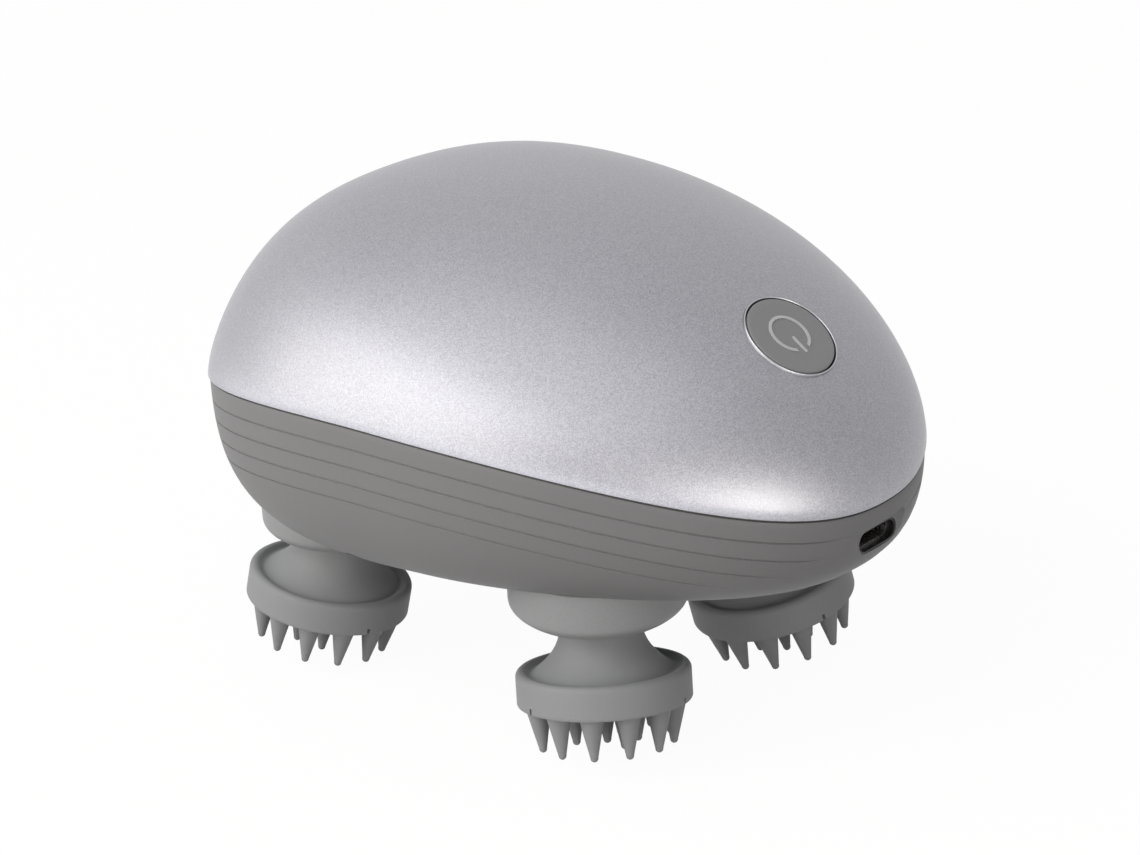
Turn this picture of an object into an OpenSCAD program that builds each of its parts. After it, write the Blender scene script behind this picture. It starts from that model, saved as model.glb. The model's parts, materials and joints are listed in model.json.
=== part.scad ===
// Four-head electric scalp massager, seen with its button and charging end toward -Y.
// It stands on the tips of its massage claws, with Z up and the origin under the middle.

/* [Shell outline] */
// Length of the body, front to rear
shell_len = 117.4; // [108:0.2:130]
// Width of the body at mid length, before the rear swell
shell_w = 94.8; // [88:0.2:110]
// How much wider the rear half is than the front half, as a share
rear_swell = 0.2; // [0.1:0.01:0.26]
// Roundness of the outline seen from above, 2 is an ellipse
plan_power = 2.2; // [2:0.05:2.6]
// Height of the upper shell above the seam
crown_h = 25.5; // [22:0.1:34]
// How far behind the middle the top of the upper shell lies
crown_back = 14.3; // [8:0.1:18]
// Depth of the lower shell below the seam
bowl_h = 29.5; // [28:0.1:36]
// How much higher the seam is at the rear end than at mid length
seam_rake = 3.05; // [0:0.05:5]
// How far the seam bows down at both ends
seam_drop = 10.15; // [4:0.05:12]
// How far ahead of the middle the floor of the lower shell lies
bowl_ahead = 1.1; // [0:0.05:2]
// How much more the lower shell swells at its rear than the outline, as a share
bowl_swell = 0.11; // [0:0.01:0.15]

/* [Shell walls] */
// Wall of both shells
wall = 2; // [1.6:0.1:2.6]
// Open line between the two shells
seam_gap = 0.3; // [0.2:0.05:0.6]
// How far the upper shell stands proud of the lower one
seam_step = 0.25; // [0:0.05:0.5]
// Wall of the tongue that locates the shells
tongue_t = 0.85; // [0.6:0.05:1]
// Height of that tongue
tongue_h = 1.8; // [1:0.1:3]
// Wall of the rubber ring in the seam
gasket_t = 0.45; // [0.3:0.05:0.6]

/* [Side grooves] */
// Number of grooves below the seam
groove_n = 4; // [2:1:4]
// Distance of the first groove below the seam
groove_first = 3.5; // [3:0.1:5]
// Distance from one groove to the next
groove_pitch = 3.05; // [2.4:0.05:3.2]
// Depth of a groove
groove_depth = 0.3; // [0.2:0.05:0.6]
// Half width of a groove
groove_half = 0.25; // [0.2:0.05:0.5]

/* [Massage heads] */
// Distance between the left and right turning axes
axis_dx = 36.4; // [36:0.1:38]
// Distance between the front and rear turning axes
axis_dy = 54.4; // [52:0.1:56]
// How far the middle of the four heads lies behind the middle of the body
axis_back = 9.2; // [6:0.1:10]
// Outward lean of each head
head_tilt = 12.5; // [8:0.5:13]
// Distance from the crossing of the two axes down to the skirt edge
head_reach = 20.75; // [20:0.05:22]
// Radius of a head's skirt
skirt_r = 13.55; // [12.5:0.05:13.6]
// Height of the skirt
skirt_h = 5.3; // [5:0.1:7]
// Wall of the skirt
skirt_wall = 1.2; // [0.9:0.1:1.6]
// Radius of the neck where it meets the dome
neck_r = 6.5; // [6:0.1:7.5]
// Radius of the post inside the neck
post_r = 4; // [3:0.1:4.5]
// Free length of a claw below the skirt edge
claw_len = 7; // [5:0.1:8]
// Radius of a claw at the skirt edge
claw_root_r = 1.95; // [1.4:0.05:2.1]
// Radius of a claw's tip
claw_tip_r = 0.58; // [0.45:0.01:0.8]
// Radius of the outer ring of claws at their tips
claw_ring_r = 10.4; // [9.6:0.1:10.8]
// Radius of the inner ring of claws
claw_inner_r = 4.75; // [4.4:0.05:5.4]
// Width of the three slots in the skirt edge
slot_w = 0.5; // [0.3:0.05:1]
// Height of those slots
slot_h = 1.0; // [0.5:0.1:1.8]

/* [Domes] */
// Radius of the turning dome above each head
dome_r = 13.9; // [12.5:0.05:14.5]
// Depth of the dome's curve
dome_drop = 4.6; // [4:0.1:6]
// Straight side of the dome
dome_band = 5.7; // [4.5:0.1:6.5]
// Depth of the recess in the lower shell's floor that takes the dome's top
recess_h = 3.8; // [3:0.1:3.9]
// Wall of that recess
recess_wall = 1.4; // [1:0.1:2]
// Open line between dome and shell
dome_gap = 0.35; // [0.3:0.05:0.5]

/* [Power button] */
// Place of the button up the front slope, 0 at the seam and 1 at the crown
button_place = 0.58; // [0.52:0.01:0.64]
// Radius of the button's face
button_r = 7.15; // [6:0.05:7.5]
// Travel of the button
button_travel = 0.6; // [0.3:0.05:0.7]
// Wall of the bright ring around the button
ring_t = 0.3; // [0.25:0.05:1]
// Running clearance around the button
button_gap = 0.2; // [0.1:0.05:0.3]
// Height of the ring above the shell
ring_proud = 0.2; // [0.1:0.05:0.4]

/* [Charging port] */
// Width of the shallow pocket in the shell
pocket_w = 12.6; // [12:0.1:14]
// Height of the shallow pocket
pocket_h = 6; // [5.4:0.1:6.4]
// Depth of the pocket behind the front of the body
pocket_d = 1.5; // [1.2:0.05:1.7]
// Distance of the port's middle below the seam
port_down = 5.8; // [5:0.1:6.4]
// Width of the charging socket
socket_w = 8.7; // [8.3:0.1:9]
// Height of the charging socket
socket_h = 3; // [2.6:0.1:3.2]
// Wall of the sleeve around the socket
sleeve_t = 0.3; // [0.25:0.05:0.5]

/* [Gear train] */
// Module of all gears
gear_m = 0.8; // [0.8:0.1:0.8]
// Teeth of the worm wheel
wheel_teeth = 35; // [35:2:35]
// Teeth of the drive pinion under it
pinion_teeth = 14; // [14:2:14]
// Teeth of an output gear
output_teeth = 28; // [28:2:28]
// Face width of the lower gears
gear_t = 4.4; // [3:0.1:5]
// Face width of the worm wheel
wheel_t = 4; // [3:0.1:5]
// Play between meshing teeth
backlash = 0.2; // [0.15:0.01:0.3]
// Thinning of the worm thread
worm_thin = 0.45; // [0.3:0.01:0.6]
// Length of the worm
worm_len = 20; // [15:0.5:22]

/* [Shafts and bushes] */
// Radius of the output shafts
shaft_r = 2.5; // [2:0.1:3]
// Radius of the idler pins
idler_pin_r = 1.25; // [1:0.05:1.5]
// Radius of the wheel pins
wheel_pin_r = 1.5; // [1.2:0.05:2]
// Radius of the motor shaft
motor_shaft_r = 1; // [0.8:0.05:1.25]
// Wall of a shaft bush
bush_wall = 1.5; // [1:0.1:2]
// Running clearance of shafts and pins
run_fit = 0.05; // [0.02:0.01:0.1]
// Clearance of pieces that are pushed together
push_fit = 0.02; // [0.01:0.01:0.05]

/* [Motor and battery] */
// Width of the motor
motor_w = 20; // [18:0.5:21]
// Height of the motor between its flats
motor_h = 15.4; // [14:0.1:16]
// Room left behind the motor, to the rear end of the body
motor_room = 5.5; // [5:0.1:7]
// Radius of the battery cell
cell_r = 7.1; // [6:0.1:7.5]
// Length of the battery cell
cell_len = 50; // [45:0.5:52]
// Thickness of the gear plates
plate_t = 1.6; // [1.2:0.1:2]
// Thickness of the circuit boards
board_t = 1.2; // [0.8:0.1:1.6]
// Radius of a screw's thread
screw_r = 1; // [0.8:0.05:1.25]
// Radius of a screw's head
screw_head_r = 1.6; // [1.5:0.05:1.7]

/* [Hidden] */
$fn = 72;

// Corners of the four heads: side, then front or rear
FL = [-1, -1];
FR = [1, -1];
RL = [-1, 1];
RR = [1, 1];

// Heights, built up from the floor under the claws
claw_step = 30;
rim_z = (claw_len - claw_tip_r) * cos(head_tilt) + claw_tip_r
    + claw_ring_r * cos(claw_step / 2) * sin(head_tilt);
pivot_z = rim_z + head_reach * cos(head_tilt);
pivot_rise = 1.9;
bowl_z = pivot_z - pivot_rise;
seat_z = bowl_z + recess_h;
dome_top = seat_z - dome_gap;
seam_z = bowl_z + bowl_h;
crown_z = seam_z + crown_h;
floor_t = 2.2;
plate_gap = 0.2;
plate_rise = 9.1;
plate_z = bowl_z + plate_rise;
seat_h = plate_z - plate_gap - seat_z;
gear_gap = 0.3;
gear_z = plate_z + plate_t + gear_gap;
cover_z = gear_z + gear_t + gear_gap + plate_gap;
cover_top = cover_z + plate_t;
rest_gap = 0.1;
worm_z = cover_top + rest_gap + motor_h / 2;
wheel_z = worm_z - wheel_t / 2;

// Bend of the two shell profiles
crown_p = 1.56;
crown_q = 2.446;
bowl_p = 2.557;
bowl_q = 5.92;

// Gear sizes
output_r = gear_m * output_teeth / 2;
pinion_r = gear_m * pinion_teeth / 2;
idler_teeth = round((axis_dy / 2 - output_r - pinion_r) / gear_m);
idler_r = (axis_dy / 2 - output_r - pinion_r) / 2;
idler_y = pinion_r + idler_r;
wheel_r = gear_m * wheel_teeth / 2;
worm_r = axis_dx / 2 - wheel_r;
tooth_up = 0.8 * gear_m;
tooth_down = 1.1 * gear_m;
pressure = 20;
bore_wall = 1.4;

function sgn_pow(v, p) = sign(v) * pow(abs(v), p);
function plan_x(t, inset) =
    (shell_w / 2 - inset) * sgn_pow(cos(t), 2 / plan_power) * (1 + rear_swell * sin(t));
function plan_y(t, inset) = (shell_len / 2 - inset) * sgn_pow(sin(t), 2 / plan_power);
function seam_at(t) =
    let (u = plan_y(t, 0) / (shell_len / 2))
    seam_z + seam_rake * u - seam_drop * u * u;

// A point of the upper shell at height share h, and of the lower shell at depth share h
function crown_pt(h, t, inset, rise = 0) =
    let (k = pow(1 - pow(h, crown_p), 1 / crown_q))
    [plan_x(t, inset) * k,
     plan_y(t, inset) * k + crown_back * h * h,
     (seam_at(t) + rise) * (1 - h) + (crown_z - max(inset, 0)) * h];
function bowl_pt(h, t, inset, rise = 0) =
    let (k = pow(1 - pow(h, bowl_p), 1 / bowl_q))
    [plan_x(t, inset) * k * (1 + bowl_swell * h * h * sin(t)),
     plan_y(t, inset) * k - bowl_ahead * h * h,
     (seam_at(t) + rise) * (1 - h) + (bowl_z + max(inset, 0)) * h];

// Closed skin over a stack of rings, with a pole point before the first and after the last
module skin(pole_a, rings, pole_b) {
    n = len(rings[0]);
    m = len(rings);
    points = concat([pole_a], [for (r = rings) each r], [pole_b]);
    faces = concat(
        [for (j = [0:n - 1]) [0, 1 + j, 1 + (j + 1) % n]],
        [for (i = [0:m - 2], j = [0:n - 1]) each let (a = 1 + i * n + j, b = 1 + i * n + (j + 1) % n)
            [[a, a + n, b], [b, a + n, b + n]]],
        [for (j = [0:n - 1]) [1 + m * n, 1 + (m - 1) * n + (j + 1) % n, 1 + (m - 1) * n + j]]);
    polyhedron(points = points, faces = faces, convexity = 6);
}

// Closed ring whose section runs through the given loops
module loop_skin(rings) {
    n = len(rings[0]);
    m = len(rings);
    points = [for (r = rings) each r];
    faces = [for (i = [0:m - 1], j = [0:n - 1]) each
        let (a = i * n + j, b = i * n + (j + 1) % n, c = ((i + 1) % m) * n + j,
             d = ((i + 1) % m) * n + (j + 1) % n)
        [[a, c, b], [b, c, d]]];
    polyhedron(points = points, faces = faces, convexity = 4);
}

steps = 60;
angles = [for (j = [0:steps - 1]) j * 360 / steps];
crown_steps = [0.04, 0.1, 0.18, 0.28, 0.4, 0.53, 0.66, 0.78, 0.87, 0.94, 0.98];
inner_crown_steps = [0.1, 0.25, 0.42, 0.6, 0.76, 0.89, 0.97];
bowl_steps = [0.12, 0.3, 0.48, 0.64, 0.77, 0.88, 0.96];
inner_bowl_steps = [0.2, 0.42, 0.6, 0.75, 0.86, 0.94, 0.985];
tongue_out = wall - tongue_t;
rabbet = tongue_out - 0.12;
edge_round = 0.35;

module upper_skin() {
    half = seam_gap / 2;
    skin([0, crown_back, crown_z - wall],
        concat(
            [for (i = [len(inner_crown_steps) - 1:-1:0])
                [for (t = angles) crown_pt(inner_crown_steps[i], t, wall)]],
            [[for (t = angles) crown_pt(0.06, t, wall, tongue_h + 0.5)]],
            [[for (t = angles) crown_pt(0, t, rabbet, tongue_h + 0.5)]],
            [[for (t = angles) crown_pt(0, t, rabbet, half)]],
            [[for (t = angles) crown_pt(0, t, edge_round, half)]],
            [[for (t = angles) crown_pt(0, t, 0, half + edge_round)]],
            [for (h = crown_steps) [for (t = angles) crown_pt(h, t, 0, half)]]),
        [0, crown_back, crown_z]);
}

// Depth share of a point that lies a distance below the seam
function share_at(t, down) = down / (seam_at(t) - bowl_z);
// Depth share of a level
function share_of(t, z, inset) = (seam_at(t) - z) / (seam_at(t) - bowl_z - inset);
// The grooves run out before the charging port
groove_fade_from = [8, 12, 20, 31];
fade_span = 10;
function fade(t, i) =
    let (a = abs(((t + 90 + 180) % 360) - 180))
    min(1, max(0, (a - groove_fade_from[i]) / fade_span));
function groove_rings() = [for (i = [0:groove_n - 1], s = [-1, 0, 1])
    [for (t = angles)
        let (down = groove_first + i * groove_pitch + s * groove_half,
             dip = (s == 0) ? groove_depth * fade(t, i) : 0)
        bowl_pt(share_at(t, down), t, seam_step + dip) +
            [0, 0, -max(seam_step + dip, 0) * share_at(t, down)]]];
groove_end = groove_first + groove_n * groove_pitch - groove_pitch / 2;

module bowl_skin() {
    half = seam_gap / 2;
    skin([0, -bowl_ahead, bowl_z],
        concat(
            [for (i = [len(bowl_steps) - 1:-1:0])
                [for (t = angles)
                    let (h0 = share_at(t, groove_end), h = h0 + (1 - h0) * bowl_steps[i])
                    bowl_pt(h, t, seam_step) + [0, 0, -seam_step * h]]],
            [for (i = [groove_n * 3 - 1:-1:0]) groove_rings()[i]],
            [[for (t = angles) bowl_pt(0, t, seam_step, -half - edge_round)]],
            [[for (t = angles) bowl_pt(0, t, seam_step + edge_round, -half)]],
            [[for (t = angles) bowl_pt(0, t, tongue_out, -half)]],
            [[for (t = angles) bowl_pt(0, t, tongue_out, tongue_h)]],
            [[for (t = angles) bowl_pt(0, t, wall, tongue_h)]],
            [for (h = inner_bowl_steps) [for (t = angles) bowl_pt(h, t, wall)]]),
        [0, -bowl_ahead, bowl_z + wall]);
}

// Local frames
module at_axis(c) { translate([c[0] * axis_dx / 2, axis_back + c[1] * axis_dy / 2, 0]) children(); }
module at_button() {
    translate(button_at) rotate([button_slope, 0, 0]) children();
}
module at_port() { translate([0, port_y, port_z]) rotate([90, 0, 0]) children(); }
// Frame of a head: its Z runs up the leaning axis, from the middle of the skirt edge
module at_head(c) {
    at_axis(c) translate([0, 0, pivot_z]) rotate([0, 0, atan2(c[1], c[0])])
        rotate([0, -head_tilt, 0]) translate([0, 0, -head_reach]) children();
}

button_at = crown_pt(button_place, -90, 0);
button_ahead = crown_pt(button_place + 0.01, -90, 0) - crown_pt(button_place - 0.01, -90, 0);
button_slope = atan2(button_ahead[2], button_ahead[1]);
port_y = -shell_len / 2;
port_z = seam_at(-90) - port_down;

module rounded(w, h, r, t) {
    linear_extrude(height = t) {
        square([w - 2 * r, h], center = true);
        square([w, h - 2 * r], center = true);
        for (x = [-1, 1], y = [-1, 1]) translate([x * (w / 2 - r), y * (h / 2 - r)]) circle(r = r);
    }
}
module pill(w, h, t) {
    linear_extrude(height = t) {
        square([w - h, h], center = true);
        for (s = [-1, 1]) translate([s * (w - h) / 2, 0]) circle(d = h);
    }
}

// Places of posts and screws
front_post = 17.7;
plate_posts = [[33, axis_back + 11.8], [32, axis_back - 12.2]];
shell_posts = [[39.5, 12], [23, port_y + front_post]];
shell_post_r = 3;
plate_post_r = 2.6;
joint_z = seam_z - 8;
counter_r = screw_head_r + 0.3;
shell_screw_len = 9;

// Button stack, as depths below the shell surface along the button's axis
ring_r = button_r + button_gap + ring_t;
flange_r = ring_r + 1.1;
flange_d = 3.4;
flange_t = 0.7;
button_flange_d = flange_d + flange_t + 0.1;
button_flange_t = 0.8;
stem_r = 1.6;
stem_d = button_flange_d + button_flange_t + 0.9;
plunger_d = stem_d + button_travel + 0.1;
switch_d = plunger_d + 0.6;
switch_h = 2.6;
switch_board_d = switch_d + switch_h;
board_post_x = 11.1;
switch_board_w = 2 * (board_post_x + 2.3);
switch_board_l = 12;
board_post_r = 1.9;

module upper_shell() {
    color("#b9bac2") difference() {
        union() {
            upper_skin();
            intersection() {
                crown_block();
                union() {
                    for (p = shell_posts, s = [-1, 1])
                        translate([s * p[0], p[1], joint_z + 0.1]) cylinder(r = shell_post_r, h = crown_h + 20);
                    at_button() for (s = [-1, 1])
                        translate([s * board_post_x, 0, -switch_board_d])
                            cylinder(r = board_post_r, h = switch_board_d - 1);
                }
            }
        }
        at_button() translate([0, 0, -flange_d - 4]) cylinder(r = ring_r + push_fit, h = flange_d + 8);
        for (p = shell_posts, s = [-1, 1])
            translate([s * p[0], p[1], joint_z]) cylinder(r = screw_r, h = shell_screw_len - 2);
        at_button() for (s = [-1, 1])
            translate([s * board_post_x, 0, -switch_board_d - 1]) cylinder(r = screw_r * 0.8, h = 5);
    }
}
// Solid inside of the crown, which trims the posts to the shell
module crown_block() {
    skin([0, 0, seam_z - 20],
        concat(
            [[for (t = angles) crown_pt(0, t, wall / 2 + 0.2) + [0, 0, -19]]],
            [for (h = concat([0.05], inner_crown_steps)) [for (t = angles) crown_pt(h, t, wall / 2 + 0.2)]]),
        [0, crown_back, crown_z - wall / 2 - 0.2]);
}

bush_r = shaft_r + run_fit + bush_wall;
boss_wall = 1.6;
seal_t = 1.4;
recess_r = dome_r + dome_gap;
module lower_shell() {
    color("#747270") difference() {
        union() {
            bowl_skin();
            for (c = [FL, FR, RL, RR]) at_axis(c)
                translate([0, 0, seat_z + 0.6]) cylinder(r = bush_r + boss_wall, h = seat_h - 0.6);
            intersection() {
                bowl_block();
                union() {
                    for (c = [FL, FR, RL, RR]) at_axis(c)
                        cylinder(r = recess_r + recess_wall, h = seat_z + floor_t);
                    for (p = plate_posts, s = [-1, 1])
                        translate([s * p[0], p[1], 0]) cylinder(r = plate_post_r, h = plate_z - plate_gap);
                    for (p = shell_posts, s = [-1, 1])
                        translate([s * p[0], p[1], 0]) cylinder(r = shell_post_r, h = joint_z);
                    for (s = [-1, 1]) translate([s * board_x, board_y, 0]) cylinder(r = 1.8, h = board_z);
                }
            }
        }
        for (c = [FL, FR, RL, RR]) at_axis(c) {
            cylinder(r = recess_r, h = seat_z);
            translate([0, 0, seat_z - 1]) cylinder(r = shaft_r + 0.4, h = seat_h + 2);
            translate([0, 0, seat_z - 1]) cylinder(r = bush_r, h = 1 + seal_t);
            translate([0, 0, seat_z + floor_t]) cylinder(r = bush_r + push_fit, h = seat_h);
        }
        for (p = plate_posts, s = [-1, 1])
            translate([s * p[0], p[1], plate_z - 5]) cylinder(r = screw_r, h = 6);
        for (p = shell_posts, s = [-1, 1]) translate([s * p[0], p[1], 0]) {
            cylinder(r = screw_r + 0.2, h = joint_z + 1);
            translate([0, 0, bowl_z - 3]) cylinder(r = counter_r, h = joint_z - bowl_z);
        }
        for (s = [-1, 1]) translate([s * board_x, board_y, board_z - 3.5]) cylinder(r = screw_r * 0.8, h = 4);
        at_port() {
            translate([0, 0, -pocket_d]) rounded(pocket_w, pocket_h, 1.2, 5);
            translate([0, 0, -pocket_d - 6]) pill(sleeve_w + 2 * push_fit, sleeve_h + 2 * push_fit, 8);
        }
    }
}
// Solid inside of the bowl, which trims its posts
module bowl_block() {
    skin([0, -bowl_ahead, bowl_z + wall / 2],
        concat(
            [for (i = [len(inner_bowl_steps) - 1:-1:0])
                [for (t = angles) bowl_pt(inner_bowl_steps[i], t, wall / 2)]],
            [[for (t = angles) bowl_pt(0.02, t, wall / 2)]],
            [[for (t = angles) bowl_pt(0, t, wall + 1) + [0, 0, 1]]]),
        [0, 0, seam_z + 1]);
}

module shell_gasket() {
    lo = -seam_gap / 2 + 0.03;
    hi = seam_gap / 2 - 0.03;
    color("#2c2c2e") loop_skin([
        [for (t = angles) bowl_pt(0, t, rabbet - gasket_t, lo)],
        [for (t = angles) bowl_pt(0, t, rabbet - gasket_t, hi)],
        [for (t = angles) bowl_pt(0, t, rabbet, hi)],
        [for (t = angles) bowl_pt(0, t, rabbet, lo)]]);
}

module button_ring() {
    color("#d6d7da") at_button() rotate_extrude() polygon([
        [ring_r - ring_t, -flange_d - flange_t], [flange_r, -flange_d - flange_t], [flange_r, -flange_d],
        [ring_r, -flange_d], [ring_r, ring_proud - 0.15], [ring_r - ring_t / 3, ring_proud],
        [ring_r - ring_t * 2 / 3, ring_proud], [ring_r - ring_t, ring_proud - 0.15]]);
}
button_top = 0.1;
module power_button() {
    color("#808082") at_button() rotate_extrude() polygon([
        [0, -stem_d], [stem_r, -stem_d], [stem_r, -button_flange_d - button_flange_t],
        [button_r + button_gap + 0.5, -button_flange_d - button_flange_t],
        [button_r + button_gap + 0.5, -button_flange_d], [button_r, -button_flange_d],
        [button_r, button_top - 0.25], [button_r - 0.25, button_top],
        [button_r * 0.5, button_top - 0.08], [0, button_top - 0.1]]);
}
symbol_r = 3.45;
symbol_line = 0.5;
module power_symbol() {
    color("#bcbcbe") at_button() translate([0, 0.35, button_top - 0.06]) linear_extrude(height = 0.12) {
        difference() {
            circle(r = symbol_r);
            circle(r = symbol_r - symbol_line);
            translate([0, -symbol_r]) square([2.6, 2.4], center = true);
        }
        translate([-symbol_line / 2, -symbol_r - 0.4]) square([symbol_line, 3.2]);
    }
}

sleeve_w = socket_w + 2 * sleeve_t + 2 * push_fit;
sleeve_h = socket_h + 2 * sleeve_t + 2 * push_fit;
sleeve_back = 5.6;
module port_sleeve() {
    color("#1d1d1f") at_port() translate([0, 0, -sleeve_back]) difference() {
        pill(sleeve_w, sleeve_h, sleeve_back - pocket_d - 0.2);
        translate([0, 0, -1]) pill(socket_w + 2 * push_fit, socket_h + 2 * push_fit, 8);
    }
}
socket_len = 8.5;
socket_d = 3;
module charge_socket() {
    color("#c8cacc") at_port() translate([0, 0, -socket_d - socket_len]) difference() {
        pill(socket_w, socket_h, socket_len);
        translate([0, 0, 1]) pill(socket_w - 0.5, socket_h - 0.5, socket_len);
    }
}
module socket_tongue() {
    color("#161616") at_port() translate([0, 0, -socket_d - socket_len + 1.02])
        translate([-3.2, -0.35, 0]) cube([6.4, 0.7, socket_len - 2.2]);
}
board_z = port_z - socket_h / 2 - board_t;
board_x = 12;
board_front = port_y + sleeve_back + 0.2;
board_y = port_y + front_post;
board_w = 30;
board_l = 17.8;
board_room = 1.2;
module main_board() {
    color("#1f5a3c") difference() {
        translate([0, 0, board_z]) linear_extrude(height = board_t) intersection() {
            polygon([for (t = angles) let (q = bowl_pt(share_of(t, board_z, wall + board_room), t, wall + board_room)) [q[0], q[1]]]);
            translate([-board_w / 2, board_front]) square([board_w, board_l]);
        }
        for (s = [-1, 1]) translate([s * board_x, board_y, board_z - 1]) cylinder(r = screw_r + 0.1, h = 4);
    }
}
module charge_chip() {
    color("#202022") translate([0, board_y + 2, board_z + board_t]) {
        translate([-4, -4, 0]) cube([5, 5, 1.1]);
        translate([4, -2, 0]) cube([3, 4, 1.4]);
        translate([-8.5, -1, 0]) cube([2, 3, 0.9]);
    }
}
module switch_board() {
    color("#1f5a3c") at_button() translate([0, 0, -switch_board_d - board_t - 0.05]) difference() {
        translate([-switch_board_w / 2, -switch_board_l / 2, 0]) cube([switch_board_w, switch_board_l, board_t]);
        for (s = [-1, 1]) translate([s * board_post_x, 0, -1]) cylinder(r = screw_r + 0.1, h = 4);
    }
}
module tact_switch() {
    color("#2a2a2c") at_button() {
        translate([-3, -3, -switch_board_d]) cube([6, 6, switch_h]);
        translate([0, 0, -switch_board_d + 1]) cylinder(r = 1.7, h = switch_h - 1 + 0.6);
    }
}
// A pan-head screw with its head's underside at the origin, pointing down
module screw(r, head, len) {
    difference() {
        union() {
            translate([0, 0, -len]) cylinder(r = r - push_fit, h = len + 0.2);
            cylinder(r = head, h = 1.1);
        }
        translate([-head * 0.6, -0.2, 0.7]) cube([head * 1.2, 0.4, 1]);
        translate([-0.2, -head * 0.6, 0.7]) cube([0.4, head * 1.2, 1]);
    }
}
module board_screws() {
    color("#c2c4c6") {
        for (s = [-1, 1]) translate([s * board_x, board_y, board_z + board_t + 0.02])
            screw(screw_r * 0.8, screw_head_r * 0.8, 4);
        at_button() for (s = [-1, 1]) translate([s * board_post_x, 0, -switch_board_d - board_t - 0.08])
            mirror([0, 0, 1]) screw(screw_r * 0.8, screw_head_r * 0.8, 4.5);
    }
}
module shell_screws() {
    color("#b0b2b4") for (p = shell_posts, s = [-1, 1])
        translate([s * p[0], p[1], joint_z - 3.05]) mirror([0, 0, 1])
            screw(screw_r, screw_head_r, shell_screw_len);
}

// Outline of the gear plates, kept inside the bowl
plate_inset = 8;
module plate_outline() {
    polygon([for (t = [0:7.5:352.5]) [plan_x(t, plate_inset), plan_y(t, plate_inset)]]);
}
train = [0, idler_y, -idler_y];
module gear_plate() {
    color("#d9d4c4") difference() {
        translate([0, 0, plate_z]) linear_extrude(height = plate_t) difference() {
            plate_outline();
            for (c = [FL, FR, RL, RR]) at_axis(c) circle(r = bush_r + boss_wall + 0.6);
            for (s = [-1, 1]) for (y = train) translate([s * axis_dx / 2, axis_back + y])
                circle(r = (y == 0 ? wheel_pin_r : idler_pin_r) + push_fit);
            for (p = plate_posts, s = [-1, 1]) translate([s * p[0], p[1]]) circle(r = screw_r + 0.2);
            translate([0, port_y + plate_notch_y]) square(plate_notch, center = true);
        }
        for (p = shell_posts, s = [-1, 1])
            translate([s * p[0], p[1], plate_z - 1]) cylinder(r = shell_post_r + 0.6, h = 5);
    }
}
cell_y = axis_back - 30.7;
cell_z = cover_top + rest_gap + cell_r;
motor_y = axis_back + worm_len / 2 + 4;
motor_len = shell_len / 2 - motor_room - motor_y;
cradle_w = 2;
cradle_x = 18;
// Openings of the plate and the cover for the main board and the socket
plate_notch = [34, 30];
plate_notch_y = 14;
cover_notch = [44, 30];
cover_notch_y = 10;
module gear_cover() {
    color("#d9d4c4") difference() {
        union() {
            translate([0, 0, cover_z]) linear_extrude(height = plate_t) difference() {
                plate_outline();
                translate([0, port_y + cover_notch_y]) square(cover_notch, center = true);
            }
            for (p = plate_posts, s = [-1, 1]) translate([s * p[0], p[1], plate_z + plate_t + 0.02])
                cylinder(r = plate_post_r, h = cover_z - plate_z - plate_t);
            for (s = [-1, 1]) translate([s * cradle_x - cradle_w / 2, cell_y - cell_r - 1.6, cover_top - 0.2])
                cube([cradle_w, 2 * cell_r + 3.2, cell_r + 1]);
            for (s = [-1, 1]) translate([s * (motor_w / 2 + 1.1) - 1, motor_y + 4, cover_top - 0.2])
                cube([2, 22, 5]);
            for (s = [-1, 1]) translate([s * clamp_x, clamp_y, cover_top - 0.2]) cylinder(r = 2.2, h = 5.2);
            translate([0, worm_bush_y, cover_top - 0.2]) rotate([0, 0, 0])
                translate([-3.6, -1.5, 0]) cube([7.2, 3, worm_z - cover_top + 3.4]);
        }
        for (s = [-1, 1]) for (y = train) translate([s * axis_dx / 2, axis_back + y, cover_z - 1])
            cylinder(r = (y == 0 ? pinion_hub_r + 0.4 : idler_pin_r + push_fit), h = plate_t + 2);
        for (c = [FL, FR, RL, RR]) at_axis(c) translate([0, 0, cover_z - 1])
            cylinder(r = shaft_r + run_fit, h = plate_t + 2);
        for (p = plate_posts, s = [-1, 1]) translate([s * p[0], p[1], plate_z])
            cylinder(r = screw_r + 0.2, h = 20);
        for (p = shell_posts, s = [-1, 1])
            translate([s * p[0], p[1], cover_z - 1]) cylinder(r = shell_post_r + 0.6, h = 5);
        translate([0, cell_y, cell_z]) rotate([0, 90, 0]) cylinder(r = cell_r + 0.05, h = 60, center = true);
        translate([0, worm_bush_y - 3, worm_z]) rotate([-90, 0, 0]) cylinder(r = worm_bush_r + push_fit, h = 6);
        for (s = [-1, 1]) translate([s * clamp_x, clamp_y, cover_top]) cylinder(r = screw_r * 0.9, h = 8);
    }
}
module gear_screws() {
    color("#b0b2b4") for (p = plate_posts, s = [-1, 1])
        translate([s * p[0], p[1], cover_top + 0.02]) screw(screw_r, screw_head_r, cover_top - plate_z + 4);
}

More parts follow.
